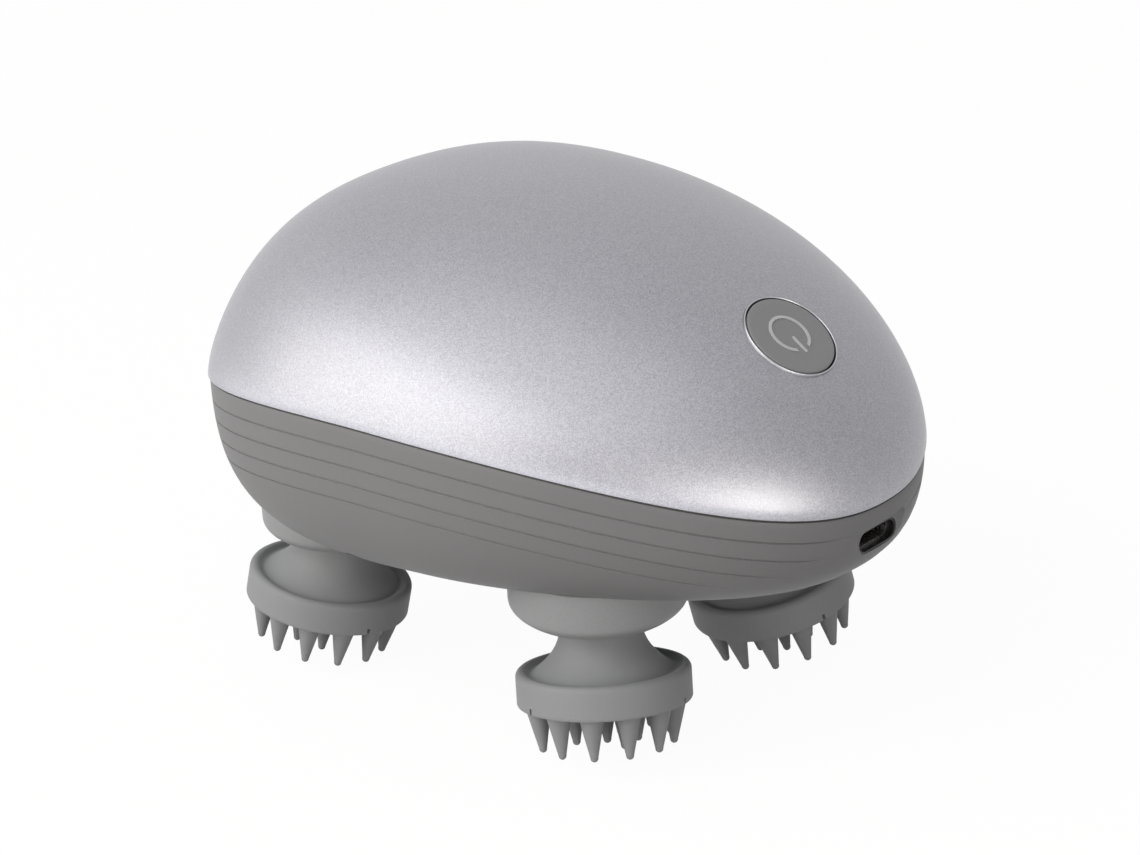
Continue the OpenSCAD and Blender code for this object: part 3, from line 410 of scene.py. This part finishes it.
def bore(place, radius, low, high, sides):
    """Drills a round hole up into the bowl."""
    bpy.ops.mesh.primitive_cylinder_add(vertices=sides, radius=radius, depth=high - low)
    drill = bpy.context.object
    place_by(drill, Matrix.Translation(place + Vector((0, 0, (low + high) / 2))))
    cut(bowl, drill)


for side, end in HEAD_SPOTS.values():
    add_boss(axis_spot(side, end), CUP_RADIUS, DOME_SEAT - CUP_DOWN, DOME_SEAT + CUP_UP, 128)
for place in REAR_SCREWS + FRONT_SCREWS:
    add_boss(place, POST_RADIUS, BELOW_FLOOR, ABOVE_RIM, 36)
for side, end in HEAD_SPOTS.values():
    bore(axis_spot(side, end), RECESS_RADIUS, DOME_SEAT - RECESS_DRILL, DOME_SEAT, 128)
for place in REAR_SCREWS:  # the front two screws lie behind plugs level with the bowl
    bore(place, WELL_RADIUS, BELOW_FLOOR, WELL_TOP, 36)
bpy.data.objects.remove(core)

PORT_DOWN = 5.8  # below the seam at the front
PORT_LEVEL = SEAM_MIDDLE - SEAM_RAKE - SEAM_DROP - PORT_DOWN
POCKET_WIDTH, POCKET_LENGTH, POCKET_HEIGHT, POCKET_CORNER = 12.6, 8, 6, 1.2
POCKET_MIDDLE = -61.2
MOUTH_WIDTH, MOUTH_HEIGHT = 9.38, 3.68
bpy.ops.mesh.primitive_cube_add(size=1)
pocket = bpy.context.object
pocket_size = Matrix.Diagonal((POCKET_WIDTH, POCKET_LENGTH, POCKET_HEIGHT, 1))
place_by(pocket, Matrix.Translation((0, POCKET_MIDDLE, PORT_LEVEL)) @ pocket_size)
pick_alone(pocket)
bpy.ops.object.mode_set(mode="EDIT")
bpy.ops.mesh.select_all(action="DESELECT")
bpy.ops.object.mode_set(mode="OBJECT")
for edge in pocket.data.edges:
    ends = [pocket.data.vertices[i].co for i in edge.vertices]
    edge.select = abs(ends[0].y - ends[1].y) > 1
bpy.ops.object.mode_set(mode="EDIT")
bpy.ops.mesh.select_mode(type="EDGE")
bpy.ops.mesh.bevel(offset=POCKET_CORNER, segments=6)
bpy.ops.object.mode_set(mode="OBJECT")
cut(bowl, pocket)


def pill_block(width, height, front, back):
    """A block of pill-shaped section along the port's axis."""
    bpy.ops.mesh.primitive_cylinder_add(vertices=48, radius=height / 2, depth=back - front)
    block = bpy.context.object
    half = (width - height) / 2
    for vertex in block.data.vertices:
        vertex.co.x += half if vertex.co.x > 1e-4 else -half if vertex.co.x < -1e-4 else 0
    middle = Matrix.Translation((0, (front + back) / 2, PORT_LEVEL))
    place_by(block, middle @ Matrix.Rotation(math.pi / 2, 4, "X"))
    return block


cut(bowl, pill_block(MOUTH_WIDTH, MOUTH_HEIGHT, front=-60.0, back=-51.0))

grey_plastic = Finish("warm_grey_plastic", Specular_IOR_Level=0.25)
grain = grey_plastic.noise(2600.0, 2.0)
shade = grey_plastic.noise(38.0, 3.0)
grey_plastic.feed(
    Base_Color=grey_plastic.blend(
        shade * 0.6 + grain * 0.4, (0.170, 0.169, 0.173), (0.205, 0.204, 0.208)),
    Roughness=0.50 + grain * 0.12,
    Normal=grey_plastic.relief(grain, 0.015, 0.5),
)
seat(bowl, grey_plastic, "housing", "shell_grey", "lower_shell", sharp=28)

# ---------------------------------------------------------------- button ring
# A thin plated ring is pressed into the crown and guides the button. Its narrow top edge
# is rounded and all but level with the lacquer, so it catches the light as a fine line.


def turned(name, profile, sides, close="CAPS"):
    """A turned form: a circle drawn from ring to ring of the profile (radius, height)."""
    bpy.ops.object.select_all(action="DESELECT")
    radius, height = profile[0]
    bpy.ops.mesh.primitive_circle_add(vertices=sides, radius=radius, location=(0, 0, height))
    piece = bpy.context.object
    piece.name = name
    bpy.ops.object.mode_set(mode="EDIT")
    bpy.ops.mesh.select_all(action="SELECT")
    if close == "CAPS":
        bpy.ops.mesh.extrude_edges_move()
        bpy.ops.mesh.merge(type="CENTER")
        select_ring(piece, radius, 0)
    for next_radius, next_height in profile[1:]:
        lift = {"value": (0, 0, next_height - height)}
        bpy.ops.mesh.extrude_edges_move(TRANSFORM_OT_translate=lift)
        scale = next_radius / radius
        bpy.ops.transform.resize(value=(scale, scale, 1), center_override=(0, 0, next_height))
        radius, height = next_radius, next_height
    if close == "CAPS":
        bpy.ops.mesh.merge(type="CENTER")
    else:
        bpy.ops.mesh.select_all(action="SELECT")
        bpy.ops.mesh.region_to_loop()
        bpy.ops.mesh.bridge_edge_loops()
    bpy.ops.mesh.select_all(action="SELECT")
    bpy.ops.mesh.remove_doubles(threshold=1e-5)
    bpy.ops.mesh.normals_make_consistent(inside=False)
    bpy.ops.object.mode_set(mode="OBJECT")
    place_by(piece, piece.matrix_world)
    return piece


def select_ring(piece, radius, height):
    """Selects the edges of one ring of a turned form, in edit mode."""
    bpy.ops.mesh.select_all(action="DESELECT")
    bpy.ops.object.mode_set(mode="OBJECT")
    for edge in piece.data.edges:
        ends = [piece.data.vertices[i].co for i in edge.vertices]
        edge.select = all(
            abs(point.xy.length - radius) < 1e-3 and abs(point.z - height) < 1e-3 for point in ends)
    bpy.ops.object.mode_set(mode="EDIT")
    bpy.ops.mesh.select_mode(type="EDGE")


ring_profile = [
    (7.4, -4.1), (8.75, -4.1), (8.75, -3.4), (7.64, -3.4), (7.64, -0.04), (7.62, 0.01),
    (7.58, 0.04), (7.53, 0.05), (7.47, 0.03), (7.42, -0.02), (7.4, -0.1),
]
ring = turned("bright_ring", ring_profile, 128, close="RING")
place_by(ring, button_frame)
bright_plating = Finish("bright_plating", Metallic=1.0)
plating_haze = bright_plating.noise(900.0, 3.0)
bright_plating.feed(
    Base_Color=bright_plating.blend(plating_haze, (0.42, 0.42, 0.44), (0.56, 0.56, 0.58)),
    Roughness=0.24 + plating_haze * 0.10,
)
seat(ring, bright_plating, "housing", "ring_chrome", "button_ring")

# ---------------------------------------------------------------- power button
# The cap is moulded in mid-grey satin plastic, slightly dished for the fingertip, with a
# flange that keeps it behind the ring. It slides inward on the switch's own spring.
button_profile = [
    (1.6, -6.6), (1.6, -5.0), (7.85, -5.0), (7.85, -4.2), (7.15, -4.2), (7.15, -0.14), (7.11, 0.0),
    (7.01, 0.07), (6.87, 0.1), (5.9, 0.06), (3.6, 0.02), (1.5, 0.0),
]
button = turned("button_cap", button_profile, 128)
place_by(button, button_frame)
satin_grey = Finish("satin_grey_plastic", Specular_IOR_Level=0.4)
satin_grain = satin_grey.noise(3200.0, 2.0)
satin_grey.feed(
    Base_Color=satin_grey.blend(satin_grain, (0.214, 0.216, 0.223), (0.253, 0.255, 0.263)),
    Roughness=0.38 + satin_grain * 0.12,
    Normal=satin_grey.relief(satin_grain, 0.01, 0.35),
)
seat(button, satin_grey, "button", "button_grey", "power_button")

# ---------------------------------------------------------------- massage heads
# Each head is moulded in soft grey rubber: a neck that flares like a trumpet into a dished
# rim, a short skirt with three slots, and a brush of tapering claws under it.
TILT = math.radians(12.5)
SKIRT_EDGE, PIVOT_TO_SKIRT = 9.02, 20.75
PIVOT = SKIRT_EDGE + PIVOT_TO_SKIRT * math.cos(TILT)
SKIRT_RADIUS, SLOT_SIZE = 13.0, (2.6, 0.55, 2.1)
OUTER_RING, INNER_RING = 10.4, 4.75
CLAW_LEAN = math.radians(3)
CLAW_HINGE = 6.42  # a claw leans about this depth, so its tip keeps its place
claw_profile = [(2.05, 1.6), (2.0, 0.5), (1.86, -0.4), (1.26, -3.3), (0.64, -6.2)]
claw_profile += [
    (0.62 * math.cos(a), -6.38 - 0.62 * math.sin(a)) for a in (0.1, 0.45, 0.8, 1.15, 1.42)
]
head_profile = [(12.0, 1.3), (12.35, 1.15), (12.42, 0.3), (12.5, 0.06), (12.75, 0.0), (13.3, 0.0)]
head_profile += [(13.47, 0.05), (13.55, 0.22), (13.55, 0.6), (13.55, 2.0), (13.55, 3.6)]
head_profile += [
    (12.6 + 0.95 * math.cos(a), 4.35 + 0.95 * math.sin(a))
    for a in (0.0, 0.35, 0.7, 1.05, 1.4, 1.75)
]
head_profile += [(12.2, 5.2), (11.95, 4.97), (11.7, 4.76), (11.45, 4.64), (11.2, 4.64)]
head_profile += [
    (6.35 + 4.7 * (1 - h) ** 2.2, 4.7 + 7.3 * h)
    for h in (0.02, 0.06, 0.11, 0.17, 0.24, 0.32, 0.42, 0.54, 0.68, 0.84, 1.0)
]
head_profile += [(6.35, 13.0), (6.35, 14.5), (5.0, 14.55)]


def claw(ring_radius, angle):
    """One claw at its place on the head, leaning in toward the middle."""
    piece = turned("claw", claw_profile, 18)
    round_head = Matrix.Rotation(angle, 4, "Z")
    foot = Matrix.Translation((ring_radius, 0, -CLAW_HINGE))
    lean_in = Matrix.Rotation(CLAW_LEAN * ring_radius / OUTER_RING, 4, "Y")
    place_by(piece, round_head @ foot @ lean_in @ Matrix.Translation((0, 0, CLAW_HINGE)))
    return piece


def soft_head():
    """One whole head, upright, with its skirt edge at height 0."""
    head = turned("head", head_profile, 128)
    for angle in (60, 180, 300):
        bpy.ops.mesh.primitive_cube_add(size=1)
        slot = bpy.context.object
        round_head = Matrix.Rotation(math.radians(angle), 4, "Z")
        at_skirt = Matrix.Translation((SKIRT_RADIUS, 0, 0))
        place_by(slot, round_head @ at_skirt @ Matrix.Diagonal((*SLOT_SIZE, 1)))
        cut(head, slot)
    claws = [claw(OUTER_RING, math.radians(15 + 30 * k)) for k in range(12)]
    claws += [claw(INNER_RING, math.radians(30 + 60 * k)) for k in range(6)]
    claws += [claw(0.0, 0.0)]
    pick_alone(head)
    for piece in claws:
        piece.select_set(True)
    bpy.ops.object.join()
    return head


soft_rubber = Finish(
    "soft_grey_rubber", Specular_IOR_Level=0.3, Sheen_Weight=0.08, Sheen_Roughness=0.5)
rubber_grain = soft_rubber.noise(1900.0, 3.0)
rubber_shade = soft_rubber.noise(60.0, 2.0)
soft_rubber.feed(
    Base_Color=soft_rubber.blend(
        rubber_shade * 0.6 + rubber_grain * 0.4, (0.234, 0.239, 0.246), (0.280, 0.286, 0.295)),
    Roughness=0.55 + rubber_grain * 0.14,
    Normal=soft_rubber.relief(rubber_grain, 0.02, 0.5),
)
head_pattern = soft_head()
for corner, (side, end) in HEAD_SPOTS.items():
    head = head_pattern.copy()
    head.data = head_pattern.data.copy()
    head.name = "soft_head_" + corner
    bpy.context.scene.collection.objects.link(head)
    stand = Matrix.Translation(axis_spot(side, end) + Vector((0, 0, PIVOT)))
    stand = stand @ Matrix.Rotation(math.atan2(end, side), 4, "Z") @ Matrix.Rotation(-TILT, 4, "Y")
    stand = stand @ Matrix.Translation((0, 0, -PIVOT_TO_SKIRT))
    stand = stand @ Matrix.Rotation(math.pi if end > 0 else 0, 4, "Z")
    place_by(head, stand)
    seat(head, soft_rubber, "head_" + corner, "head_rubber", "massage_head_" + corner, sharp=40)
bpy.data.objects.remove(head_pattern)

# ---------------------------------------------------------------- turning domes
# A dome of satin plastic carries each head on its leaning post. It is keyed to the output
# shaft and turns in the recess of the bowl with a hair's breadth of space.
DOME_RADIUS, DOME_SHOULDER, DOME_BULGE = 13.9, -5.7, 4.6
DOME_PLAY = 0.35  # the room left over the dome's top
dome_profile = [
    (12.0, 0.0), (13.5, 0.0), (13.72, -0.06), (13.86, -0.2),
    (DOME_RADIUS, -0.45), (DOME_RADIUS, -3.0),
]
dome_profile += [
    (DOME_RADIUS * math.cos(a), DOME_SHOULDER - DOME_BULGE * math.sin(a))
    for a in [math.radians(d) for d in range(0, 85, 6)]
]
satin_dome = Finish("satin_dome_plastic", Specular_IOR_Level=0.35)
dome_grain = satin_dome.noise(2400.0, 2.0)
satin_dome.feed(
    Base_Color=satin_dome.blend(dome_grain, (0.254, 0.259, 0.266), (0.297, 0.302, 0.310)),
    Roughness=0.46 + dome_grain * 0.12,
    Normal=satin_dome.relief(dome_grain, 0.012, 0.4),
)
for corner, (side, end) in HEAD_SPOTS.items():
    dome = turned("turning_dome_" + corner, dome_profile, 112)
    dome_top = Vector((0, 0, DOME_SEAT - DOME_PLAY))
    place_by(dome, Matrix.Translation(axis_spot(side, end) + dome_top))
    seat(dome, satin_dome, "head_" + corner, "dome_grey", "head_dome_" + corner)

# ---------------------------------------------------------------- pieces kept from the frame
# The seam's rubber ring, the charging port and the whole drive keep their turned, cut and
# moulded solids. Each gets the finish of what it is made of.


def plain_finish(name, low, high, rough, scale, metal=0.0, depth=0.01, stretch=None):
    """A moulded, turned or ground surface: two close tones, mottled at the given scale."""
    finish = Finish(name, Metallic=metal)
    if stretch:
        finish.place = finish.node("Mapping", {}, {"Vector": finish.place, "Scale": stretch})
    mottle = finish.noise(scale, 3.0)
    return finish.feed(
        Base_Color=finish.blend(mottle, low, high),
        Roughness=rough + mottle * 0.12,
        Normal=finish.relief(mottle, depth, 0.4),
    )


def circuit_finish():
    """Green board lacquer over faint copper tracks."""
    finish = Finish("board_lacquer", Specular_IOR_Level=0.6)
    track = finish.node("TexBrick", {"offset": 0.35}, {
        "Vector": finish.place, "Scale": 420.0, "Mortar Size": 0.05, "Color1": (1, 1, 1, 1),
        "Color2": (0.8, 0.8, 0.8, 1), "Mortar": (0, 0, 0, 1)}, "Fac")
    tone = finish.noise(500.0)
    return finish.feed(
        Base_Color=finish.blend(
            track * 0.75 + tone * 0.25, (0.010, 0.095, 0.050), (0.030, 0.190, 0.100)),
        Roughness=0.28 + tone * 0.15,
    )


kept = {
    "seal_rubber": plain_finish(
        "seal_rubber", (0.085, 0.082, 0.079), (0.115, 0.112, 0.108), 0.6, 1500.0),
    "symbol_light": plain_finish(
        "light_print", (0.48, 0.48, 0.49), (0.54, 0.54, 0.55), 0.4, 2500.0),
    "port_black": plain_finish(
        "black_moulding", (0.006, 0.006, 0.007), (0.014, 0.014, 0.015), 0.35, 2200.0),
    "socket_steel": plain_finish(
        "plated_steel", (0.52, 0.51, 0.49), (0.66, 0.65, 0.63), 0.22, 900.0, 1.0),
    "board_green": circuit_finish(),
    "screw_steel": plain_finish(
        "zinc_plate", (0.46, 0.46, 0.48), (0.60, 0.60, 0.62), 0.30, 1200.0, 1.0),
    "frame_plastic": plain_finish(
        "natural_nylon", (0.60, 0.57, 0.49), (0.70, 0.67, 0.59), 0.45, 700.0),
    "shaft_steel": plain_finish(
        "ground_steel", (0.50, 0.50, 0.51), (0.66, 0.66, 0.67), 0.18, 300.0, 1.0, 0.004,
        (1, 1, 14)),
    "bush_brass": plain_finish(
        "turned_brass", (0.50, 0.34, 0.11), (0.64, 0.46, 0.18), 0.25, 900.0, 1.0),
    "motor_steel": plain_finish(
        "rolled_steel", (0.44, 0.45, 0.46), (0.58, 0.59, 0.60), 0.28, 260.0, 1.0, 0.006, (1, 9, 1)),
    "cell_wrap": plain_finish(
        "shrink_sleeve", (0.022, 0.110, 0.270), (0.035, 0.150, 0.340), 0.25, 300.0),
    "gear_plastic": plain_finish(
        "white_acetal", (0.74, 0.72, 0.66), (0.84, 0.82, 0.76), 0.34, 1100.0),
}
for part in frame["record"]["subparts"]:
    node = frame["nodes"][part["node"]]
    if part["material_slot"] in kept:
        node.data.materials.clear()
        node.data.materials.append(kept[part["material_slot"]].material)

# ---------------------------------------------------------------- floor
# A round white sweep, faded out at its edge, which takes only the massager's soft shadow.
# Mirrored in the lacquer it shows white, and its side toward the left soft box shows brighter: a
# painted reflection, a glow on the floor seen only in mirrored rays.
FLOOR_RADIUS, FADE_START, FADE_END = 1.6, 0.5, 1.4  # metres
bpy.ops.mesh.primitive_circle_add(
    vertices=96, radius=FLOOR_RADIUS, fill_type="NGON", location=(0, 0, 0))
floor = bpy.context.object
floor.name = "floor"
sweep = Finish(
    "white_sweep", Roughness=1.0, Specular_IOR_Level=0.0, Base_Color=(0.38, 0.375, 0.37, 1))
seen = sweep.node("LightPath", {}, {}, "Is Camera Ray")
reflected = sweep.node("LightPath", {}, {}, "Is Glossy Ray")
glow = sweep.node("Emission", {}, {"Color": (1, 1, 1, 1), "Strength": 1.10})
clear = sweep.node("BsdfTransparent", {}, {"Color": (1, 1, 1, 1)})
reach = sweep.node("VectorMath", {"operation": "LENGTH"}, {0: sweep.place}, "Value")
matt_white = Wire(sweep, sweep.shader.outputs[0])
lit = sweep.node("MixShader", {}, {0: seen * 0.87 + reflected * 0.90, 1: matt_white, 2: glow})
# Painted reflection: the floor's left side glows for mirrored rays only, standing in for a low soft
# box there.
painted_glow_side = sweep.node("MapRange", {}, {
    "Value": sweep.node("SeparateXYZ", {}, {0: sweep.place}), "From Min": -0.03, "From Max": -0.15})
painted_glow_pool = sweep.node("Emission", {}, {"Color": (1, 1, 1, 1), "Strength": 2.3})
lit = sweep.node("MixShader", {}, {0: reflected * painted_glow_side, 1: lit, 2: painted_glow_pool})
edge = sweep.node("MapRange", {}, {"Value": reach, "From Min": FADE_START, "From Max": FADE_END})
faded = sweep.node("MixShader", {}, {0: edge, 1: lit, 2: clear})
sweep.tree.links.new(faded.socket, sweep.tree.nodes["Material Output"].inputs["Surface"])
floor.data.materials.append(sweep.material)

# ---------------------------------------------------------------- studio light
# A white room, brighter behind the massager than before it, with a low warm window off
# its front that shows only in mirrored light. A large soft box stands at the left, a wide
# dim one hangs overhead, and a small warm one fills the front left.


class RoomLight(Finish):
    """The same node helpers, for the light that comes from the walls of the room."""

    def __init__(self, world):
        world.use_nodes = True
        self.tree = world.node_tree
        self.tree.nodes.clear()
        self.place = self.node("TexCoord", {}, {}, "Generated")

    def toward(self, direction):
        """How much of each mirrored or scattered ray's own direction points this way."""
        sockets = {0: self.place, 1: direction}
        return self.node("VectorMath", {"operation": "DOT_PRODUCT"}, sockets, "Value")

    def wall(self, colour, strength):
        """Light of this colour from the walls."""
        return self.node("Background", {}, {"Color": (*colour, 1), "Strength": strength})

    def chosen_by(self, ray, plain, special):
        """The special light for this kind of ray, and the plain one for any other."""
        share = self.node("LightPath", {}, {}, ray)
        return self.node("MixShader", {}, {0: share, 1: plain, 2: special})


bpy.context.scene.world = bpy.data.worlds.new("white_room")
room = RoomLight(bpy.context.scene.world)
fall = 0.80 + room.toward((0.10, 0.20, 0.0))
window = fall.maths("MAXIMUM", room.toward((-0.19, -0.98, 0.05)), 0.0) ** 30 * 6.0
mirrored = room.node(
    "AddShader", {}, {0: room.wall((1, 1, 1), fall), 1: room.wall((1.0, 0.95, 0.90), window)})
backdrop = room.wall((1, 1, 1), 1.0)
lighting = room.chosen_by("Is Glossy Ray", room.wall((0.98, 0.985, 1.0), 0.28), mirrored)
lighting = room.chosen_by("Is Transmission Ray", lighting, backdrop)
lighting = room.chosen_by("Is Camera Ray", lighting, backdrop)
room.node("OutputWorld", {}, {"Surface": lighting}, None)


def soft_panel(name, toward, distance, width, height, watts, colour=(1, 1, 1)):
    """A soft box in that direction from the massager, facing its middle."""
    lamp = bpy.data.lights.new(name, "AREA")
    lamp.shape, lamp.size, lamp.size_y, lamp.energy = "RECTANGLE", width, height, watts
    lamp.color = colour
    box = bpy.data.objects.new(name, lamp)
    bpy.context.scene.collection.objects.link(box)
    middle, direction = Vector((0, 0, 0.045)), Vector(toward).normalized()
    box.location = middle + direction * distance
    box.rotation_mode = "QUATERNION"
    box.rotation_quaternion = (-direction).to_track_quat("-Z", "Y")


soft_panel("left_panel", (-0.858, 0.37, 0.35), 1.2, 1.6, 1.6, 18.3, (1.0, 0.975, 0.93))
soft_panel("top_panel", (-0.45, -0.05, 0.89), 1.1, 1.4, 1.4, 5.0)
soft_panel("front_panel", (-0.42, -0.90, 0.10), 0.9, 0.5, 0.3, 1.8, (1.0, 0.95, 0.90))
